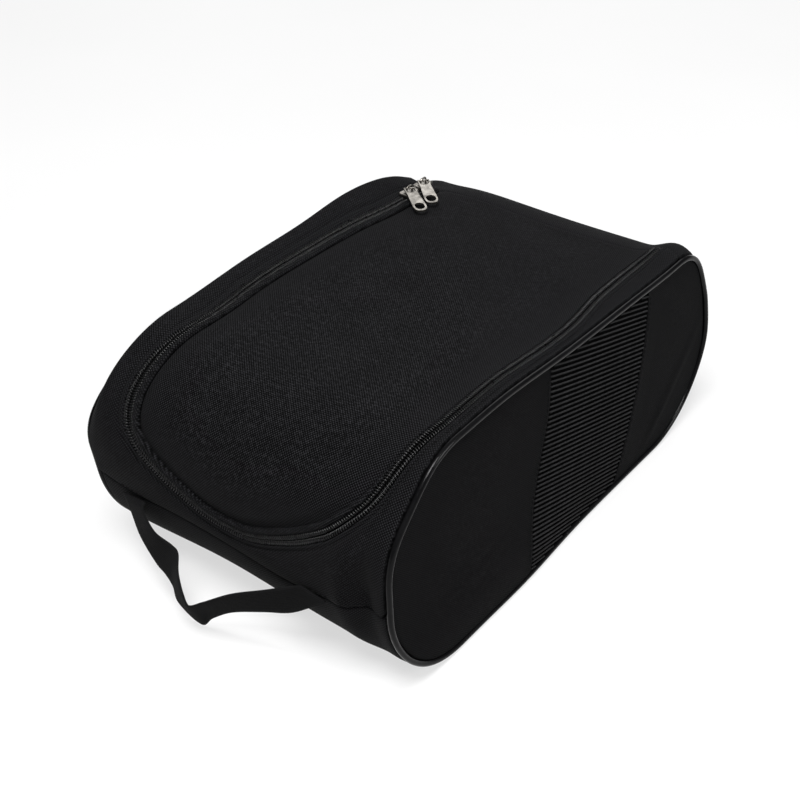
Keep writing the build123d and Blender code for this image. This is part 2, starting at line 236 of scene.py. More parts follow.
def curve_through(points, samples):
    """A smooth curve through the given points, with samples to each span."""
    points = np.array(points, float)
    padded = np.vstack([2 * points[0] - points[1], points, 2 * points[-1] - points[-2]])
    t = (np.arange(samples) / samples)[:, None]
    spans = []
    for p0, p1, p2, p3 in zip(padded, padded[1:], padded[2:], padded[3:]):
        slope = p2 - p0
        bend = 2 * p0 - 5 * p1 + 4 * p2 - p3
        twist = 3 * p1 - p0 - 3 * p2 + p3
        spans.append(0.5 * (2 * p1 + slope * t + bend * t ** 2 + twist * t ** 3))
    return np.vstack([*spans, points[-1:]])


def rounded_outline(corners, step):
    """Points round a closed outline whose corners are (y, z, radius)."""
    points = []
    for index, (y, z, radius) in enumerate(corners):
        corner = np.array((y, z))
        if radius == 0:
            points.append(corner)
            continue
        before = unit(np.array(corners[index - 1][:2]) - corner)
        after = unit(np.array(corners[(index + 1) % len(corners)][:2]) - corner)
        half_angle = math.acos(before @ after) / 2
        bisector = unit(before + after)
        centre = corner + bisector * radius / math.sin(half_angle)
        first = corner + before * radius / math.tan(half_angle) - centre
        last = corner + after * radius / math.tan(half_angle) - centre
        start = math.atan2(first[1], first[0])
        turn = (math.atan2(last[1], last[0]) - start + math.pi) % (2 * math.pi) - math.pi
        angles = start + turn * np.linspace(0, 1, int(abs(turn) * radius / step))
        points.extend(centre + radius * np.array((math.cos(a), math.sin(a))) for a in angles)
    return np.array(points)


class Outline:
    """The bag's side outline by arc length s, from the middle of the bottom, up the front and over."""

    def __init__(self):
        corners = (
            (0.0, 0.0, 0),
            (-HALF_LENGTH, 0.0, FRONT_RADIUS),
            (-HALF_LENGTH, FRONT_HEIGHT, FRONT_RADIUS),
            (HALF_LENGTH, REAR_HEIGHT, REAR_TOP_RADIUS),
            (HALF_LENGTH, 0.0, REAR_BOTTOM_RADIUS),
        )
        points = densify(np.vstack([rounded_outline(corners, 1.5), [[0.0, 0.0]]]), 2.0)
        keep = np.r_[True, np.linalg.norm(np.diff(points, axis=0), axis=1) > 1e-6]
        self.points = points[keep]
        self.s = run_length(self.points)
        self.length = self.s[-1]
        tangent = unit(np.gradient(self.points, self.s, axis=0))
        self.normal = np.stack([-tangent[:, 1], tangent[:, 0]], axis=1)
        self.top = int(np.argmax(self.points[:, 1]))

    def place(self, s, depth):
        """(y, z) at arc length s, moved outwards by depth."""
        s = np.asarray(s, float) % self.length
        y, z = (np.interp(s, self.s, column) for column in self.points.T)
        normal_y, normal_z = (np.interp(s, self.s, column) for column in self.normal.T)
        return y + depth * normal_y, z + depth * normal_z

    def at_front(self, z):
        """Arc length where the front is this high."""
        return np.interp(z, self.points[:self.top + 1, 1], self.s[:self.top + 1])

    def at_top(self, y):
        """Arc length where the top is at this y."""
        part = (self.points[:, 1] > HALF_LENGTH / 2.4) & (self.s > self.s[self.top] - FRONT_RADIUS)
        return np.interp(y, self.points[part, 0], self.s[part])


OUTLINE = Outline()


# -------- the soft shape
def settle(points):
    """Moves points of the ideal bag to where the soft one sags and swells."""
    points = np.array(points, float)
    rest = points.copy()
    for centre, reach, shift in SOFT_PULLS:
        weight = np.exp(-(((rest - centre) / reach) ** 2).sum(axis=-1))
        points += weight[..., None] * np.array(shift)
    edge = smooth(-rest[..., 0], *LEFT_ROLL_X) * smooth(rest[..., 2], *LEFT_ROLL_Z)
    points[..., 2] -= LEFT_ROLL * edge
    return points


def band(x, s, depth):
    """Points on the band that wraps round the bag: x across, s along the outline."""
    x, s, depth = np.broadcast_arrays(np.asarray(x, float), s, depth)
    y, z = OUTLINE.place(s, depth)
    return settle(np.stack([x, y, z], axis=-1))


def side_swell(y, z):
    """How far a side panel stands out at (y, z)."""
    from_middle = (z - SIDE_MIDDLE_Z) / SIDE_MIDDLE_Z
    span = np.clip(1 - (y / SIDE_REACH_Y) ** 2, 0, 1) * np.clip(1 - from_middle ** 2, 0, 1)
    swell = SIDE_SWELL * np.sqrt(span)
    from_foot = -((y - FOOT_CENTRE[0]) / FOOT_REACH[0]) ** 2 - ((z - FOOT_CENTRE[1]) / FOOT_REACH[1]) ** 2
    swell += FOOT_SWELL * (np.exp(from_foot) * np.sqrt(span))
    along = np.array(CREASE_RUN) / math.hypot(*CREASE_RUN)
    from_crease = (y - CREASE_START[0]) * along[1] - (z - CREASE_START[1]) * along[0]
    crease = CREASE_HEIGHT * np.exp(-(from_crease / CREASE_WIDTH) ** 2)
    return swell + crease * smooth(y, 80, 110) * np.sqrt(span)


def side_points(side, y, z, depth):
    """Points on a side panel, depth outwards from its surface."""
    x = side * (SIDE_X + side_swell(y, z) + depth)
    return settle(np.stack(np.broadcast_arrays(x, y, z), axis=-1))


# -------- meshes
def new_piece(name, points, faces, material, cloth=None):
    """A mesh in metres from points in millimetres. cloth is (across, along, wear) for each point."""
    mesh = bpy.data.meshes.new(name)
    points = np.asarray(points, float).reshape(-1, 3)
    mesh.from_pydata((points * MM).tolist(), [], faces)
    if cloth is not None:
        cloth = np.asarray(cloth, float).reshape(-1, 3) * (MM, MM, 1)
        attribute = mesh.attributes.new("cloth", "FLOAT_VECTOR", "POINT")
        attribute.data.foreach_set("vector", cloth.ravel())
    work = bmesh.new()
    work.from_mesh(mesh)
    bmesh.ops.recalc_face_normals(work, faces=work.faces)
    work.to_mesh(mesh)
    work.free()
    mesh.shade_smooth()
    mesh.materials.append(material)
    piece = bpy.data.objects.new(name, mesh)
    bpy.context.scene.collection.objects.link(piece)
    return piece


def closed_grid(top, bottom):
    """Points and faces of a solid sheet from two grids of points, rows by columns."""
    rows, columns = top.shape[:2]
    below = rows * columns
    faces = []
    for row in range(rows - 1):
        for column in range(columns - 1):
            a = row * columns + column
            quad = (a, a + 1, a + columns + 1, a + columns)
            faces.append(quad)
            faces.append(tuple(below + v for v in reversed(quad)))
    rim = list(range(columns))
    rim += [row * columns + columns - 1 for row in range(1, rows)]
    rim += [(rows - 1) * columns + column for column in range(columns - 2, -1, -1)]
    rim += [row * columns for row in range(rows - 2, 0, -1)]
    for a, b in zip(rim, rim[1:] + rim[:1]):
        faces.append((b, a, below + a, below + b))
    return np.concatenate([top.reshape(-1, 3), bottom.reshape(-1, 3)]), faces


def cloth_of(x, s, wear=0.0):
    """The cloth coordinates of a closed grid: the same for its top and its underside."""
    grid = np.stack(np.broadcast_arrays(x, s, wear), axis=-1).reshape(-1, 3)
    return np.concatenate([grid, grid])


def edge_wear(rows, columns, reach=2.5):
    """1 at a grid's border, falling away within a few cells of it."""
    row, column = np.mgrid[0:rows, 0:columns]
    border = np.minimum(np.minimum(row, rows - 1 - row), np.minimum(column, columns - 1 - column))
    return np.exp(-border / reach)


def sheet_on_band(name, x, s, top, bottom, material):
    """A solid sheet on the band, from grids of x and s and its two depths."""
    x, s = np.broadcast_arrays(np.asarray(x, float), s)
    points, faces = closed_grid(band(x, s, top), band(x, s, bottom))
    return new_piece(name, points, faces, material, cloth_of(x, s, edge_wear(*x.shape)))


def loft_faces(count, size, closed=False):
    """Faces that join count rings of size points, with caps unless the rings close on themselves."""
    faces = []
    for ring in range(count if closed else count - 1):
        near = ring * size
        far = ((ring + 1) % count) * size
        for k in range(size):
            beside = (k + 1) % size
            faces.append((near + k, near + beside, far + beside, far + k))
    if not closed:
        faces.append(tuple(reversed(range(size))))
        faces.append(tuple((count - 1) * size + k for k in range(size)))
    return faces


def tube(name, centre, radius, sides, material, closed=False):
    """A round tube along a line of points."""
    if closed:
        tangent = np.roll(centre, -1, axis=0) - np.roll(centre, 1, axis=0)
    else:
        tangent = np.gradient(centre, axis=0)
    tangent = unit(tangent)
    helper = np.where(abs(tangent[:, 2:]) > 0.9, (0.0, 1.0, 0.0), (0.0, 0.0, 1.0))
    first = unit(np.cross(tangent, helper))
    for k in range(1, len(first)):
        first[k] = unit(first[k - 1] - tangent[k] * (first[k - 1] @ tangent[k]))
    second = np.cross(tangent, first)
    angles = np.linspace(0, 2 * np.pi, sides, endpoint=False)[None, :, None]
    rings = centre[:, None] + radius * (first[:, None] * np.cos(angles) + second[:, None] * np.sin(angles))
    along = np.repeat(run_length(centre)[:, None], sides, axis=1)
    around = np.broadcast_to(np.arange(sides) * radius, along.shape)
    cloth = np.stack([around, along, np.zeros_like(along)], axis=-1)
    return new_piece(name, rings, loft_faces(len(centre), sides, closed), material, cloth)


def stitches(name, path, material, length=2.6, gap=1.0, radius=0.28):
    """A row of short raised threads along a path of points."""
    along = run_length(path)
    starts = np.arange(gap, along[-1] - length, length + gap)
    points, faces = [], []
    for start in starts:
        place = start + length * np.array((0.0, 0.25, 0.75, 1.0))
        centre = np.stack([np.interp(place, along, path[:, k]) for k in range(3)], axis=1)
        ahead = unit(centre[-1] - centre[0])
        first = unit(np.cross(ahead, (0.0, 0.0, 1.0) if abs(ahead[2]) < 0.9 else (0.0, 1.0, 0.0)))
        second = np.cross(ahead, first)
        base = len(points)
        for middle, size in zip(centre, (0.35, 1.0, 1.0, 0.35)):
            for a in range(4):
                turn = a * math.pi / 2
                points.append(middle + radius * size * (first * math.cos(turn) + second * math.sin(turn)))
        faces.extend(tuple(base + v for v in face) for face in loft_faces(4, 4))
    return new_piece(name, points, faces, material)


def evaluated_points(piece):
    """The piece's points after its modifiers, in metres."""
    seen = piece.evaluated_get(bpy.context.evaluated_depsgraph_get())
    points = np.zeros(len(seen.data.vertices) * 3)
    seen.data.vertices.foreach_get("co", points)
    return points.reshape(-1, 3)


def puff_up(piece, top_free, cap, pressure=4.0):
    """Inflates a closed grid with cloth simulation, by up to cap. Its underside stays in place.

    top_free is how far each point of the top may follow the simulation, from 0 to 1.
    """
    free = np.concatenate([top_free.ravel(), np.zeros(top_free.size)])
    rest = evaluated_points(piece)
    pins = piece.vertex_groups.new(name="pins")
    for index, share in enumerate(free):
        pins.add([index], float(1 - min(share, 1.0)), "REPLACE")
    cloth = piece.modifiers.new("cloth", "CLOTH")
    cloth.settings.quality = 5
    cloth.settings.use_pressure = True
    cloth.settings.uniform_pressure_force = pressure
    cloth.settings.vertex_group_mass = "pins"
    cloth.settings.effector_weights.gravity = 0.0
    cloth.settings.tension_stiffness = 12
    cloth.settings.bending_stiffness = 0.6
    for step in range(1, CLOTH_FRAMES + 1):
        bpy.context.scene.frame_set(step)
    moved = evaluated_points(piece) - rest
    piece.modifiers.remove(cloth)
    piece.vertex_groups.remove(pins)
    bpy.context.scene.frame_set(1)
    distance = np.linalg.norm(moved, axis=1)
    limit = cap * MM * free
    eased = np.tanh(distance / np.maximum(limit, 1e-9))
    moved *= (limit / np.maximum(distance, 1e-9) * eased)[:, None]
    piece.data.vertices.foreach_set("co", (rest + moved).ravel())
    piece.data.update()
    subdivide(piece)


def subdivide(piece):
    """One level of subdivision, made final."""
    piece.modifiers.new("smooth", "SUBSURF").levels = 1
    seen = piece.evaluated_get(bpy.context.evaluated_depsgraph_get())
    mesh = bpy.data.meshes.new_from_object(seen)
    piece.modifiers.clear()
    piece.data = mesh
    mesh.shade_smooth()


# -------- materials
class Shader:
    """A Principled material and short ways to add nodes to it."""

    def __init__(self, name, roughness, specular, metallic=0.0):
        self.material = bpy.data.materials.new(name)
        self.material.use_nodes = True
        self.tree = self.material.node_tree
        self.surface = self.tree.nodes["Principled BSDF"]
        self.surface.inputs["Roughness"].default_value = roughness
        self.surface.inputs["Specular IOR Level"].default_value = specular
        self.surface.inputs["Metallic"].default_value = metallic

    def add(self, kind, inputs=(), **settings):
        node = self.tree.nodes.new(kind)
        for key, value in settings.items():
            setattr(node, key, value)
        for key, value in dict(inputs).items():
            if isinstance(value, bpy.types.NodeSocket):
                self.tree.links.new(value, node.inputs[key])
            else:
                node.inputs[key].default_value = value
        return node

    def math(self, operation, *values):
        node = self.add("ShaderNodeMath", enumerate(values), operation=operation)
        return node.outputs[0]

    def cloth(self):
        """The cloth coordinates as one vector, and as its three values (across, along, wear)."""
        place = self.add("ShaderNodeAttribute", attribute_name="cloth").outputs["Vector"]
        return place, self.add("ShaderNodeSeparateXYZ", {0: place}).outputs

    def noise(self, place, scale, detail=3.0):
        inputs = {"Vector": place, "Scale": scale, "Detail": detail}
        return self.add("ShaderNodeTexNoise", inputs).outputs[0]

    def ramp(self, value, low, high, dark, light):
        """A value between low and high turned into a colour between dark and light."""
        share = self.add("ShaderNodeMapRange", {0: value, 1: low, 2: high}).outputs[0]
        inputs = {0: share, 6: (*dark, 1), 7: (*light, 1)}
        return self.add("ShaderNodeMix", inputs, data_type="RGBA").outputs[2]

    def colour(self, value):
        self.tree.links.new(value, self.surface.inputs["Base Color"])

    def rough(self, value, low, high):
        share = self.add("ShaderNodeMapRange", {0: value, 3: low, 4: high}).outputs[0]
        self.tree.links.new(share, self.surface.inputs["Roughness"])

    def bump(self, height, distance, strength=1.0):
        node = self.add("ShaderNodeBump", {"Height": height, "Strength": strength, "Distance": distance})
        self.tree.links.new(node.outputs[0], self.surface.inputs["Normal"])


def thread_wave(shader, coordinate, pitch):
    """A sine wave with one half turn for each thread."""
    turns = shader.math("MULTIPLY", coordinate, math.pi / (pitch * MM))
    return shader.math("SINE", turns)


def woven(name, dark, light, pitch, specular, sheen, depth=0.00018, stretch=1.0):
    """A plain weave: raised cells where the threads cross, every other one lighter as painted sheen and the
    gaps between them darker as painted shade, with slubs, speckle and worn edges.
    """
    shader = Shader(name, 0.8, specular)
    place, (across, along, wear) = shader.cloth()
    crossing_and_sheen = shader.math("MULTIPLY", thread_wave(shader, across, pitch),
                           thread_wave(shader, along, pitch * stretch))
    pillow_and_shade = shader.math("POWER", shader.math("ABSOLUTE", crossing_and_sheen), 0.6)
    speckle = shader.noise(place, 1100.0, 1.0)
    cloudy = shader.noise(place, 45.0)
    slub = shader.noise(place, 430.0, 2.0)
    # the colour carries painted light: every other cell is lighter as painted sheen, and each cell's middle
    # is lighter than its edges as painted shade in the gaps between threads
    shade = shader.math("MULTIPLY_ADD", crossing_and_sheen, 1.0, shader.math("MULTIPLY", pillow_and_shade, 0.5))
    shade = shader.math("ADD", shade, shader.math("MULTIPLY_ADD", slub, 2.2, -1.1))
    shade = shader.math("ADD", shade, shader.math("MULTIPLY_ADD", speckle, 1.4, -0.65))
    shade = shader.math("ADD", shade, shader.math("MULTIPLY_ADD", cloudy, 0.5, -0.25))
    shade = shader.math("ADD", shade, shader.math("MULTIPLY", wear, 0.22))
    shader.colour(shader.ramp(shade, 0.1, 1.6, dark, light))
    shader.rough(speckle, 0.62, 0.92)
    shader.bump(shader.math("MULTIPLY_ADD", speckle, 0.5, pillow_and_shade), depth)
    shader.surface.inputs["Sheen Weight"].default_value = sheen
    shader.surface.inputs["Sheen Roughness"].default_value = 0.5
    return shader.material


def webbing_material():
    """Flat webbing: fine chevron ribs along its length, their grooves painted darker than their tops as
    painted shade.
    """
    shader = Shader("webbing", 0.85, 0.05)
    place, (across, along, wear) = shader.cloth()
    ribs = thread_wave(shader, across, 1.5)
    lean = shader.math("MULTIPLY_ADD", shader.math("ABSOLUTE", ribs), 0.0006, along)
    picks = shader.math("ABSOLUTE", thread_wave(shader, lean, 1.0))
    height = shader.math("MULTIPLY", picks, shader.math("ABSOLUTE", ribs))
    speckle = shader.noise(place, 900.0)
    # the ribs' height is painted into the colour: grooves darker as painted shade, tops lighter
    shade = shader.math("ADD", shader.math("MULTIPLY", height, 0.6), shader.math("MULTIPLY", speckle, 0.5))
    shade = shader.math("ADD", shade, shader.math("MULTIPLY", wear, 0.25))
    shader.colour(shader.ramp(shade, 0.1, 1.1, (0.0018, 0.0018, 0.0020), (0.0088, 0.0088, 0.0092)))
    shader.rough(speckle, 0.65, 0.95)
    shader.bump(height, 0.00025)
    return shader.material


def coil_material():
    """Nylon coil: satin black, scuffed in places."""
    shader = Shader("zip_coil", 0.3, 0.36)
    place = shader.add("ShaderNodeTexCoord").outputs["Object"]
    scuff = shader.noise(place, 260.0)
    shader.colour(shader.ramp(scuff, 0.3, 0.75, (0.0012, 0.0012, 0.0013), (0.006, 0.006, 0.0065)))
    shader.rough(scuff, 0.2, 0.42)
    shader.bump(scuff, 0.00004)
    return shader.material


def piping_material():
    """Glossy vinyl over a cord, with the faint cross wrinkles of a bent cover."""
    shader = Shader("piping", 0.2, 0.09)
    place, _ = shader.cloth()
    wrinkle = shader.noise(place, 330.0)
    broad = shader.noise(place, 30.0)
    shader.colour(shader.ramp(broad, 0.3, 0.7, (0.0015, 0.0015, 0.0017), (0.004, 0.004, 0.0043)))
    shader.rough(wrinkle, 0.10, 0.28)
    shader.bump(wrinkle, 0.00010)
    return shader.material


def thread_material():
    """Twisted sewing thread."""
    shader = Shader("thread", 0.7, 0.08)
    place = shader.add("ShaderNodeTexCoord").outputs["Object"]
    twist = shader.noise(place, 1500.0)
    shader.colour(shader.ramp(twist, 0.3, 0.7, (0.001, 0.001, 0.0011), (0.008, 0.008, 0.0085)))
    shader.bump(twist, 0.00008)
    return shader.material


def nickel_material():
    """Antique nickel plate: brushed, darker in its low places, rubbed in spots."""
    shader = Shader("nickel", 0.34, 0.5, 1.0)
    place = shader.add("ShaderNodeTexCoord").outputs["Object"]
    tarnish = shader.noise(place, 190.0, 5.0)
    grain = shader.noise(place, 2200.0)
    shader.colour(shader.ramp(tarnish, 0.35, 0.65, (0.12, 0.112, 0.10), (0.38, 0.36, 0.33)))
    shader.rough(grain, 0.22, 0.5)
    shader.bump(grain, 0.00003)
    return shader.material


def floor_material():
    """Plain pale studio floor."""
    shader = Shader("floor", 0.9, 0.05)
    place = shader.add("ShaderNodeTexCoord").outputs["Object"]
    shader.colour(shader.ramp(shader.noise(place, 3.0), 0.2, 0.8, (0.19, 0.19, 0.19), (0.21, 0.21, 0.21)))
    shader.surface.inputs["Emission Color"].default_value = (1, 1, 1, 1)
    shader.surface.inputs["Emission Strength"].default_value = 0.66
    return shader.material


SHELL = woven("shell_fabric", (0.0002, 0.0002, 0.0003), (0.0175, 0.0175, 0.0192), 0.9, 0.04, 0.006)
SIDE = woven("side_fabric", (0.0010, 0.0010, 0.0012), (0.0105, 0.0105, 0.0110), 0.75, 0.03, 0.0, 0.0001)
TAPE = woven("zip_tape", (0.0006, 0.0006, 0.0007), (0.0045, 0.0045, 0.0048), 0.7, 0.08, 0.0, 0.0001)
# one black mesh in two colours: ribs painted lighter as painted highlight, backing and cross threads
# painted darker as painted shade
RIB_PAINTED_HIGHLIGHT = woven("rib_mesh", (0.005, 0.005, 0.0053), (0.038, 0.038, 0.040), 0.9, 0.12, 0.0, 0.0002, 0.6)
GAP_PAINTED_SHADE = woven("mesh_backing", (0.0010, 0.0010, 0.0011), (0.0040, 0.0040, 0.0043), 0.9, 0.05, 0.0)
LINING = woven("lining", (0.008, 0.008, 0.009), (0.040, 0.040, 0.044), 0.6, 0.15, 0.05, 0.00008)
BINDING = woven("binding", (0.0030, 0.0030, 0.0033), (0.0120, 0.0120, 0.0125), 0.9, 0.12, 0.02)
WEBBING = webbing_material()
COIL = coil_material()
PIPING = piping_material()
THREAD = thread_material()
NICKEL = nickel_material()


# -------- the zip
def zip_line(step):
    """The whole U of the zip as (x, s), from the left end round the front to the right end."""
    left = [(x, OUTLINE.at_top(y)) for x, y in ZIP_LEFT_LEG]
    front = [(x, OUTLINE.at_front(z)) for x, z in ZIP_FRONT_RUN]
    right = [(x, OUTLINE.at_top(y)) for x, y in ZIP_RIGHT_LEG]
    return resample(curve_through(left + front + right, 12), step)


def beside_zip(line, offset):
    """An (x, s) line moved sideways: positive is away from the lid."""
    tangent = unit(np.gradient(line, axis=0))
    return line + np.stack([tangent[:, 1], -tangent[:, 0]], axis=1) * np.asarray(offset)[..., None]


def right_leg(line):
    """1 where an (x, s) line is on the zip's right leg, 0 on its front and left."""
    return smooth(line[:, 0], 55, 88) * smooth(line[:, 1], OUTLINE.at_front(96), OUTLINE.at_top(-104))


def ribbon(name, section, material):
    """A strip along the zip with a closed section of (offset, depth) points."""
    line = zip_line(2.2)
    edges = np.stack([beside_zip(line, np.full(len(line), offset)) for offset, _ in section], axis=1)
    depth = np.broadcast_to([depth for _, depth in section], edges.shape[:2])
    x, s = np.clip(edges[..., 0], -GUSSET_HALF, GUSSET_HALF), edges[..., 1]
    cloth = np.stack([x, s, np.full(x.shape, 0.2)], axis=-1)
    return new_piece(name, band(x, s, depth), loft_faces(*x.shape), material, cloth)


def lid_edge():
    """The rolled edge of the lid. On the right leg the lid's panel lies over it."""
    line = zip_line(2.2)
    hidden = right_leg(line)
    edges, depths = [], []
    for offset, depth in LID_EDGE_SECTION:
        edges.append(beside_zip(line, offset + (LID_EDGE_SECTION[0][0] - offset) * 0.75 * hidden))
        depths.append(depth + (-1.2 - depth) * 0.85 * hidden)
    x, s = np.moveaxis(np.stack(edges, axis=1), 2, 0)
    cloth = np.stack([x, s, np.full(x.shape, 0.3)], axis=-1)
    points = band(x, s, np.stack(depths, axis=1))
    return new_piece("lid_edge", points, loft_faces(*x.shape), SHELL, cloth)


def coil(name, side):
    """One row of the zip's coil: a flattened helix beside the zip's line."""
    line = zip_line(COIL_PITCH / COIL_POINTS_PER_TURN)
    phase = np.arange(len(line)) * 2 * np.pi / COIL_POINTS_PER_TURN
    place = beside_zip(line, side * (COIL_MIDDLE[0] + COIL_HALF_SIZE[0] * np.cos(phase)))
    depth = COIL_MIDDLE[1] + COIL_HALF_SIZE[1] * np.sin(phase)
    return tube(name, band(place[:, 0], place[:, 1], depth), COIL_THREAD_RADIUS, 5, COIL)


def tape(name, side):
    """The zip's tape on one side of its line."""
    (near, far), (top, bottom) = TAPE_EDGES, TAPE_DEPTHS
    section = ((side * near, top), (side * far, top), (side * far, bottom), (side * near, bottom))
    return ribbon(name, section, TAPE)


# -------- the lid
def lid_grid(inset, step):
    """Grids of x and s over the lid, inset from the zip, and each point's distance from its edge."""
    line = zip_line(1.0)
    line = beside_zip(line, -inset - (FABRIC_EDGE - WELT_END) * (inset == WELT_END) * right_leg(line))
    lowest = int(np.argmin(line[:, 1]))
    left, right = resample(line[:lowest + 1], step), line[lowest:]
    order = np.argsort(right[:, 1])
    right_x = np.interp(left[:, 1], right[order, 1], right[order, 0])
    even = np.linspace(0, 1, 56)
    u = even - 0.6 * np.sin(2 * np.pi * even) / (2 * np.pi)
    x = left[:, :1] + (right_x - left[:, 0])[:, None] * u
    s = np.repeat(left[:, 1:], len(u), axis=1)
    flat = np.stack([x, s], axis=-1).reshape(-1, 1, 2)
    gap = np.linalg.norm(flat - resample(line, 3.0)[None], axis=2).min(axis=1)
    return x, s, gap.reshape(x.shape)


def lid_panel():
    """The padded lid. A crease runs inside its edge, except beside the right leg."""
    x, s, gap = lid_grid(WELT_END, 3.0)
    crease = 1 - smooth(x, 55, 85) * smooth(s, OUTLINE.at_front(105), OUTLINE.at_top(-105))
    top = 0.9 - 2.0 * crease * (1 - smooth(gap, -1, 7)) + 0.5 * smooth(gap, 4, 26)
    points, faces = closed_grid(band(x, s, top), band(x, s, -PAD_DEPTH))
    wear = 0.7 * np.exp(-gap / 5)
    piece = new_piece("lid_panel", points, faces, SHELL, cloth_of(x, s, wear))
    puff_up(piece, smooth(gap, 5, 30), 1.6)
    return piece


def lid_lining():
    """The lining under the lid, slightly rippled."""
    x, s, gap = lid_grid(LINING_EDGE, 5.0)
    top, bottom = LINING_DEPTHS
    ripple = 0.35 * np.sin(x / 9) * np.sin(s / 13) * smooth(gap, 4, 20)
    return sheet_on_band("lid_lining_panel", x, s, top + ripple, bottom + ripple, LINING)


# -------- the band round the bag
def seam_s(x):
    """Arc length of the front seam at this x."""
    curve = curve_through(FRONT_SEAM, 8)
    return OUTLINE.at_front(np.interp(x, curve[:, 0], curve[:, 1]))


def surround_grid(edge, half, step, columns):
    """Grids of x and s between the zip and the sides, down to the front seam."""
    whole = zip_line(step)
    line = beside_zip(whole, np.full(len(whole), edge))
    shoulder = OUTLINE.at_front(118)
    lowest = int(np.argmin(line[:, 1]))
    outer = []
    for half_line, side in ((line[:lowest + 1], -1), (line[lowest:][::-1], 1)):
        leg = half_line[half_line[:, 1] >= shoulder]
        turning = len(half_line) - len(leg)
        corner = np.array([[side * half, shoulder], [side * half, seam_s(side * half)]])
        seam_x = np.linspace(side * half, half_line[-1, 0], 20)
        path = np.vstack([densify(corner, 1.0), np.stack([seam_x, seam_s(seam_x)], axis=1)[1:]])
        path = densify(path, 1.0)
        along = run_length(path)
        even = np.linspace(0, along[-1], turning + 1)[1:]
        turned = np.stack([np.interp(even, along, path[:, k]) for k in range(2)], axis=1)
        outer.append(np.vstack([np.stack([np.full(len(leg), side * half), leg[:, 1]], axis=1), turned]))
    outer = np.vstack([outer[0], outer[1][::-1][1:]])
    u = (np.linspace(0, 1, columns) ** 1.5)[None, :, None]
    grid = line[:, None] * (1 - u) + outer[:, None] * u
    return grid[..., 0], grid[..., 1]


def surround():
    """The padded strip round the zip, swollen between its two seams."""
    x, s = surround_grid(FABRIC_EDGE, GUSSET_HALF, 3.0, 26)
    width = np.hypot(x[:, -1] - x[:, 0], s[:, -1] - s[:, 0])[:, None]
    from_zip = np.hypot(x - x[:, :1], s - s[:, :1])
    u = from_zip / width
    groove = np.exp(-((from_zip - STITCH_OFFSET) / 0.8) ** 2)
    top = 0.6 + np.clip(width * 0.07, 0, 2.0) * np.sin(np.pi * u ** 0.8) - 1.1 * groove
    return sheet_on_band("surround", x, s, top, -PAD_DEPTH, SHELL)


def surround_lining():
    """The lining under the strip round the zip."""
    x, s = surround_grid(LINING_EDGE, INNER_HALF, 4.0, 8)
    return sheet_on_band("surround_lining", x, s, *LINING_DEPTHS, LINING)


def wrap_grid(s_start, s_end, half, step=4.0, columns=46):
    """A plain grid across the band between two arc lengths, each one value or one for each column."""
    x = np.linspace(-half, half, columns)
    start, end = np.broadcast_to(s_start, x.shape), np.broadcast_to(s_end, x.shape)
    v = np.linspace(0, 1, int(np.ptp((start.min(), end.max())) / step))[:, None]
    return np.repeat(x[None], len(v), axis=0), start * (1 - v) + end * v


def wrap_panel(name, s_start, s_end, swell, free_cap, material):
    """A padded panel across the band, swollen between its seams."""
    x, s = wrap_grid(s_start, s_end, GUSSET_HALF)
    v = np.linspace(0, 1, len(x))[:, None]
    rise = (np.sin(np.pi * v) * np.clip(1 - (x / GUSSET_HALF) ** 2, 0, 1)) ** 0.5
    piece = sheet_on_band(name, x, s, swell * rise, -PAD_DEPTH, material)
    if free_cap:
        puff_up(piece, smooth(rise, 0.25, 0.8), free_cap, 2.5)
    return piece


def wrap_lining():
    """The lining from the front seam down, along the bottom and up the rear to the hinge seam."""
    start = OUTLINE.at_top(HINGE_SEAM_Y)
    end = OUTLINE.length + seam_s(np.linspace(-INNER_HALF, INNER_HALF, 30))
    x, s = wrap_grid(start, end, INNER_HALF, 6.0, 30)
    return sheet_on_band("wrap_lining", x, s, *LINING_DEPTHS, LINING)


def hinge_binding():
    """The bound seam inside, where the lid joins the rear panel."""
    low, high = box_mm("hinge_seam_binding")
    x, s = np.meshgrid(np.linspace(low[0], high[0], 30), OUTLINE.at_top(np.linspace(low[1], high[1], 8)))
    ridge = 0.8 * np.sin(np.pi * np.linspace(0, 1, 8))[:, None]
    return sheet_on_band("hinge_binding", x, s, -5.4, -6.0 - ridge * np.ones_like(x), BINDING)


# -------- the sides
def mesh_edge_y(edge, z):
    """y of a mesh edge at this height."""
    curve = curve_through(edge, 12)
    return np.interp(z, curve[:, 1], curve[:, 0])


def top_limit(y, inset=SIDE_EDGE_INSET + 0.4):
    """Height of the top at this y, less an inset."""
    slope = (REAR_HEIGHT - FRONT_HEIGHT) / (2 * HALF_LENGTH)
    return FRONT_HEIGHT + slope * (y + HALF_LENGTH) - inset


def side_panel(side, end, edge):
    """The panel between a mesh edge and the piping, at the front or the rear end."""
    low_y, high_y = mesh_edge_y(edge, 4.0), mesh_edge_y(edge, MESH_HIGH_Z)
    start = -low_y if end == "front" else OUTLINE.length - low_y
    path = np.linspace(start, OUTLINE.at_top(high_y), 96)
    outer_y, outer_z = OUTLINE.place(path, -SIDE_EDGE_INSET)
    inner_z = np.linspace(outer_z[0], outer_z[-1], len(path))
    inner_y = mesh_edge_y(edge, inner_z)
    u = np.linspace(0, 1, 30)
    y = inner_y[:, None] * (1 - u) + outer_y[:, None] * u
    z = inner_z[:, None] * (1 - u) + outer_z[:, None] * u
    lip = 0.5 * np.exp(-u / 0.05)
    points, faces = closed_grid(side_points(side, y, z, lip), side_points(side, y, z, -PANEL_THICKNESS))
    name = ("right" if side > 0 else "left") + "_side_" + end + "_panel"
    piece = new_piece(name, points, faces, SIDE, cloth_of(y, z, edge_wear(*y.shape)))
    middle = np.sin(np.pi * u)[None, :] * np.sin(np.pi * np.linspace(0, 1, len(path)))[:, None]
    puff_up(piece, smooth(middle, 0.1, 0.7), 1.6, 1.5)
    return piece


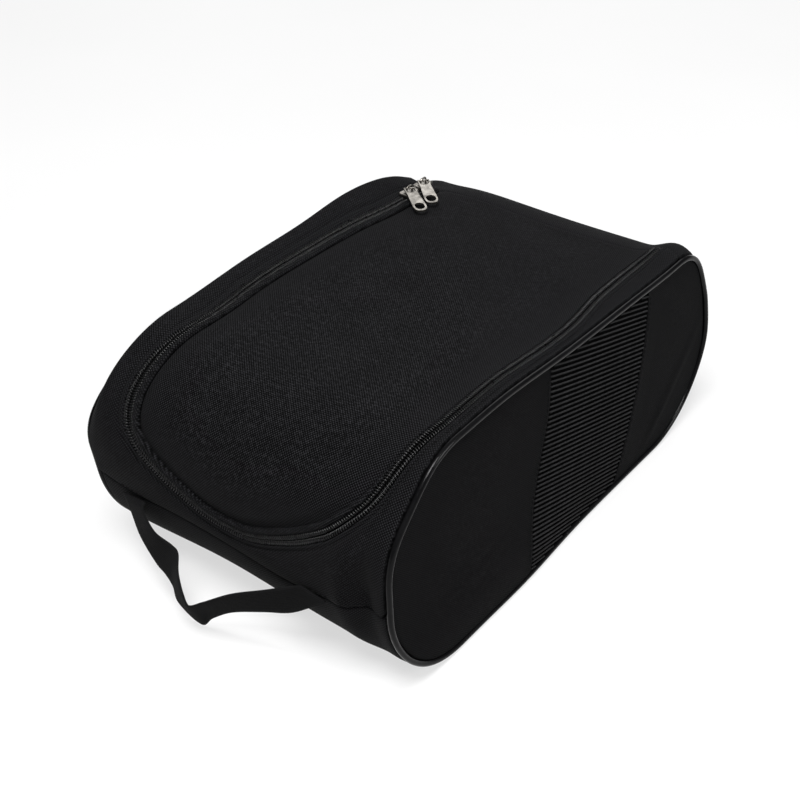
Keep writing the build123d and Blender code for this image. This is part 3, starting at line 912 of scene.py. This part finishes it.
def mesh_backing(side, name):
    """The knit behind the ribs, painted dark as painted shade in the mesh's gaps."""
    u = np.linspace(0, 1, 24)
    z = np.linspace(MESH_LOW_Z, MESH_HIGH_Z, 50)[:, None]
    y = mesh_edge_y(MESH_FRONT_EDGE, z) * (1 - u) + mesh_edge_y(MESH_REAR_EDGE, z) * u
    z = np.minimum(z, top_limit(y))
    points, faces = closed_grid(side_points(side, y, z, -1.0), side_points(side, y, z, -1.6))
    return new_piece(name + "_mesh_backing", points, faces, GAP_PAINTED_SHADE, cloth_of(y, z))


def clipped_runs(make_line, starts):
    """The parts of a family of (y, z) lines that lie inside the mesh insert."""
    for start in starts:
        y, z = make_line(start)
        inside = (z > 4.6) & (z < top_limit(y) - 0.4)
        inside &= (y > mesh_edge_y(MESH_FRONT_EDGE, z)) & (y < mesh_edge_y(MESH_REAR_EDGE, z))
        if inside.sum() > 8:
            yield y[inside][::6], z[inside][::6]


def mesh_threads(name, side, runs, half_height, half_depth, depth, material):
    """Rounded threads along (y, z) runs on the side."""
    points, faces, cloth = [], [], []
    angles = np.linspace(0, 2 * np.pi, 6, endpoint=False)
    for y, z in runs:
        along = unit(np.gradient(np.stack([y, z], axis=1), axis=0))
        ring_y = y[:, None] - along[:, 1:] * half_height * np.cos(angles)
        ring_z = z[:, None] + along[:, :1] * half_height * np.cos(angles)
        rings = side_points(side, ring_y, ring_z, depth + half_depth * np.sin(angles))
        base = sum(len(p) for p in points)
        faces.extend(tuple(base + v for v in face) for face in loft_faces(len(y), 6))
        points.append(rings.reshape(-1, 3))
        length = np.repeat(run_length(np.stack([y, z], axis=1))[:, None], 6, axis=1)
        around = np.broadcast_to(half_height * angles, length.shape)
        cloth.append(np.stack([around, length, np.zeros_like(length)], axis=-1).reshape(-1, 3))
    return new_piece(name, np.concatenate(points), faces, material, np.concatenate(cloth))


def mesh_insert(side, name):
    """The ribbed mesh: backing, sloping ribs and fine threads across them."""
    y = np.linspace(-60, 100, 640)
    ribs = clipped_runs(lambda low: (y, low - RIB_SLOPE * (y + 20)),
                        np.arange(-10, 190, RIB_PITCH / math.cos(math.atan(RIB_SLOPE))))
    z = np.linspace(0, 140, 560)
    cross = clipped_runs(lambda start: (start + RIB_SLOPE * z, z), np.arange(-95, 95, THREAD_PITCH))
    return (
        mesh_backing(side, name),
        # ribs get the painted-highlight colour, the cross threads the painted-shade colour
        mesh_threads(name + "_mesh_ribs", side, ribs, 0.62, 0.6, -0.2, RIB_PAINTED_HIGHLIGHT),
        mesh_threads(name + "_mesh_threads", side, cross, 0.2, 0.2, -0.75, GAP_PAINTED_SHADE),
    )


def side_ring(side, x, inset, s):
    """A ring of points round the side's outline."""
    y, z = OUTLINE.place(s, -inset)
    return settle(np.stack([np.full(len(s), side * x), y, z], axis=1))


def piping(side, name):
    """The glossy cord that edges the side."""
    s = np.linspace(0, OUTLINE.length, 420, endpoint=False)
    centre = side_ring(side, PIPING_X, PIPING_INSET, s)
    return tube(name + "_piping_trim", centre, PIPING_RADIUS, 12, PIPING, closed=True)


def side_lining(side, name):
    """The inner face of the side, ruled between the lower and the upper half of its outline."""
    front = OUTLINE.at_front(FRONT_HEIGHT / 2)
    rear = OUTLINE.length - REAR_HEIGHT / 2 - REAR_BOTTOM_RADIUS - HALF_LENGTH + END_GAP
    upper = OUTLINE.place(np.linspace(front + END_GAP, rear - END_GAP, 60), -SIDE_LINING_INSET)
    low_end = rear - OUTLINE.length + END_GAP
    lower = OUTLINE.place(np.linspace(front - END_GAP, low_end, 60), -SIDE_LINING_INSET)
    u = np.linspace(0, 1, 16)[:, None]
    y = lower[0] * (1 - u) + upper[0] * u
    z = lower[1] * (1 - u) + upper[1] * u
    outer, inner = (settle(np.stack([np.full(y.shape, side * x), y, z], axis=-1)) for x in SIDE_LINING_X)
    points, faces = closed_grid(outer, inner)
    return new_piece(name + "_lining_panel", points, faces, LINING, cloth_of(y, z))


def seam_binding(side, name):
    """The tape folded over the side seam inside."""
    s = np.linspace(0, OUTLINE.length, 240, endpoint=False)
    rings = [side_ring(side, x, inset, s) for x, inset in BINDING_SECTION]
    points = np.stack(rings, axis=1)
    cloth = np.stack(np.broadcast_arrays(np.arange(5.0)[None], s[:, None], 0.1), axis=-1)
    return new_piece(name + "_binding", points, loft_faces(len(s), 5, closed=True), BINDING, cloth)


def mesh_seam_stitches(side, name):
    """Topstitching beside both edges of the mesh insert."""
    rows = []
    for label, edge, step in (("front", MESH_FRONT_EDGE, -2.2), ("rear", MESH_REAR_EDGE, 2.2)):
        z = np.linspace(6, 131, 90)
        y = mesh_edge_y(edge, z) + step
        z = np.minimum(z, top_limit(y) - 1)
        path = side_points(side, y, z, 0.55)
        rows.append(stitches(name + "_mesh_stitches_" + label, path, THREAD))
    return rows


# -------- the handle
def strap():
    """The loop of webbing, with a slightly rounded section."""
    middle = curve_through([place for place, _ in STRAP_STATIONS], 7)
    width = curve_through([across for _, across in STRAP_STATIONS], 7)
    along = np.gradient(middle, axis=0)
    facing = unit(np.cross(along, width))
    u = np.linspace(-0.5, 0.5, 13)
    centre = middle[:, None] + width[:, None] * u[None, :, None]
    thick = STRAP_HALF_THICKNESS * (1 - 0.55 * (2 * abs(u)) ** 8)[None, :, None]
    points, faces = closed_grid(centre + facing[:, None] * thick, centre - facing[:, None] * thick)
    length = run_length(middle)[:, None]
    cloth = cloth_of(u[None, :] * STRAP_WIDTH, length, np.exp(-(0.5 - abs(u)) / 0.05)[None, :])
    return new_piece("handle_loop", points, faces, WEBBING, cloth)


def strap_stitches():
    """The rows of stitching that hold the webbing's ends in the front seam."""
    rows = []
    for label, (x, _, _), half in (("left", STRAP_STATIONS[0][0], 10), ("right", STRAP_STATIONS[-1][0], 9)):
        across = np.linspace(x - half, x + half, 20)
        rows.append(stitches("handle_stitches_" + label, band(across, seam_s(across) + 1.2, 1.0), THREAD))
    return rows


# -------- build
def finish(piece, nodes):
    """The piece stands for the nodes, which are hidden."""
    if nodes:
        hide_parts(*nodes)
    return piece


def on_bag(piece, slot, *nodes):
    """The piece rides on the bag."""
    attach(piece, "bag")
    return finish(piece, nodes)


def on_lid(piece, slot, *nodes):
    """The piece keeps its place, its transform baked into its mesh."""
    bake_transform(piece)
    return finish(piece, nodes)


def build_lid():
    """The lid and its row of the zip."""
    panel = on_lid(lid_panel(), "shell_fabric",
                   "lid_fabric", "lid_foam", "lid_root_fabric", "lid_root_foam")
    on_lid(lid_lining(), "lining", "lid_lining", "lid_root_lining")
    on_lid(lid_edge(), "shell_fabric", "lid_welt", "lid_root_welt")
    on_lid(tape("lid_tape_strip", -1), "zip_tape", "lid_tape", "lid_root_tape")
    on_lid(coil("lid_coil_row", -1), "zip_coil", "lid_coil", "lid_root_coil")


def build_band():
    """Everything that wraps round the bag between its two sides."""
    on_bag(tape("body_tape_strip", 1), "zip_tape", "body_tape")
    on_bag(coil("body_coil_row", 1), "zip_coil", "body_coil")
    front_seam = seam_s(np.linspace(-GUSSET_HALF, GUSSET_HALF, 46))
    hinge_seam = OUTLINE.at_top(HINGE_SEAM_Y) + 0.2
    bottom_front = -BOTTOM_FRONT_Y
    bottom_rear = OUTLINE.length - BOTTOM_REAR_Y
    pads = (
        on_bag(surround(), "shell_fabric", "surround_fabric", "surround_foam"),
        on_bag(wrap_panel("front_panel", bottom_front, front_seam - 0.3, 1.2, 2.0, SHELL),
               "shell_fabric", "front_panel_fabric", "front_panel_foam", "handle_tails"),
        on_bag(wrap_panel("rear_panel", hinge_seam, bottom_rear, 1.5, 2.0, SHELL),
               "shell_fabric", "rear_panel_fabric", "rear_panel_foam"),
        on_bag(wrap_panel("bottom", bottom_rear, OUTLINE.length + bottom_front, 0.0, 0, SHELL),
               "shell_fabric", "bottom_fabric", "bottom_foam", "bottom_board"),
    )
    on_bag(surround_lining(), "lining", "gusset_lining")
    on_bag(wrap_lining(), "lining")
    on_bag(hinge_binding(), "binding", "hinge_seam_binding")
    line = zip_line(1.5)
    topstitch = beside_zip(line, np.full(len(line), FABRIC_EDGE + STITCH_OFFSET))
    path = band(topstitch[:, 0], topstitch[:, 1], 0.25)
    on_bag(stitches("surround_stitches", path, THREAD), "shell_fabric")


def build_side(side):
    """One side: 1 is the right, -1 the left."""
    name = "right" if side > 0 else "left"
    front = side_panel(side, "front", MESH_FRONT_EDGE)
    rear = side_panel(side, "rear", MESH_REAR_EDGE)
    on_bag(front, "side_fabric", name + "_side_front", name + "_side_foam")
    on_bag(rear, "side_fabric", name + "_side_rear")
    backing, ribs, threads = mesh_insert(side, name)
    on_bag(backing, "rib_mesh")
    on_bag(ribs, "rib_mesh", name + "_side_mesh")
    on_bag(threads, "rib_mesh")
    on_bag(piping(side, name), "piping", name + "_piping")
    on_bag(side_lining(side, name), "lining", name + "_side_lining")
    on_bag(seam_binding(side, name), "binding", name + "_seam_binding")
    for row in mesh_seam_stitches(side, name):
        on_bag(row, "side_fabric")


def build_handle():
    """The webbing loop turns with the handle, and its stitching stays on the bag."""
    loop = strap()
    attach(loop, "handle")
    finish(loop, ("handle_strap",))
    for row in strap_stitches():
        on_bag(row, "webbing")


def finish_metal():
    """The sliders and pulls keep their CAD shape and get a plated finish."""
    for node in ("front_slider", "rear_slider", "front_pull", "rear_pull"):
        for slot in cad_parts[node].material_slots:
            slot.material = NICKEL


# -------- stage, light and camera
AZIMUTH = math.radians(38.38)
ELEVATION = math.radians(34.75)
ROLL = math.radians(-1.94)
DISTANCE = 0.92945
AIM = Vector((0, 0, 0.0693))
LENS = 66.9
SENSOR_WIDTH = 36
SHIFT = (-0.0251, -0.0172)
FLOOR_REACH = 40.0
FLOOR_DROP = 0.0005           # keeps the floor just below the bag's underside
SURROUND_LIGHT = 0.12


def make_camera():
    """The camera, aimed from its azimuth, elevation and distance."""
    back = Vector((math.sin(AZIMUTH) * math.cos(ELEVATION), -math.cos(AZIMUTH) * math.cos(ELEVATION),
                   math.sin(ELEVATION)))
    level = Vector((0, 0, 1)).cross(back).normalized()
    upright = back.cross(level)
    right = level * math.cos(ROLL) + upright * math.sin(ROLL)
    up = upright * math.cos(ROLL) - level * math.sin(ROLL)
    lens = bpy.data.cameras.new("camera")
    lens.lens = LENS
    lens.sensor_width = SENSOR_WIDTH
    lens.shift_x, lens.shift_y = SHIFT
    lens.clip_start = 0.05
    camera = bpy.data.objects.new("camera", lens)
    bpy.context.scene.collection.objects.link(camera)
    place = AIM + back * DISTANCE
    rows = [(right[k], up[k], back[k], place[k]) for k in range(3)]
    camera.matrix_world = Matrix((*rows, (0, 0, 0, 1)))
    bpy.context.scene.camera = camera


def make_floor():
    """A plain floor, wide enough to fill the view."""
    mesh = bpy.data.meshes.new("floor")
    corners = [(x * FLOOR_REACH, y * FLOOR_REACH, 0) for x, y in ((-1, -1), (1, -1), (1, 1), (-1, 1))]
    mesh.from_pydata(corners, [], [(0, 1, 2, 3)])
    mesh.materials.append(floor_material())
    floor = bpy.data.objects.new("floor", mesh)
    bpy.context.scene.collection.objects.link(floor)
    floor.location.z = -FLOOR_DROP
    floor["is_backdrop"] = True


def area_light(name, place, size, power):
    """A soft rectangular light that faces the bag."""
    data = bpy.data.lights.new(name, "AREA")
    data.shape = "RECTANGLE"
    data.size, data.size_y = size
    data.energy = power
    light = bpy.data.objects.new(name, data)
    bpy.context.scene.collection.objects.link(light)
    light.location = place
    light.rotation_euler = (AIM - Vector(place)).to_track_quat("-Z", "Y").to_euler()


def make_light():
    """Three soft studio lights and a dim even surround."""
    world = bpy.data.worlds.new("world")
    bpy.context.scene.world = world
    world.use_nodes = True
    world.node_tree.nodes["Background"].inputs["Color"].default_value = (1, 1, 1, 1)
    world.node_tree.nodes["Background"].inputs["Strength"].default_value = SURROUND_LIGHT
    area_light("key", (0.3, -0.65, 1.9), (0.9, 0.9), 75)
    area_light("side", (1.6, 0.4, 1.0), (0.7, 0.7), 20)
    area_light("rear", (-0.85, 1.1, 1.0), (1.3, 0.6), 6)
    bpy.context.scene.view_settings.view_transform = "Standard"


make_camera()
make_floor()
make_light()
build_lid()
build_band()
build_side(1)
build_side(-1)
build_handle()
finish_metal()

boxes = {"cad": CAD_BOX, "visual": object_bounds()}
{name: [list(corner) for corner in box] for name, box in boxes.items()}
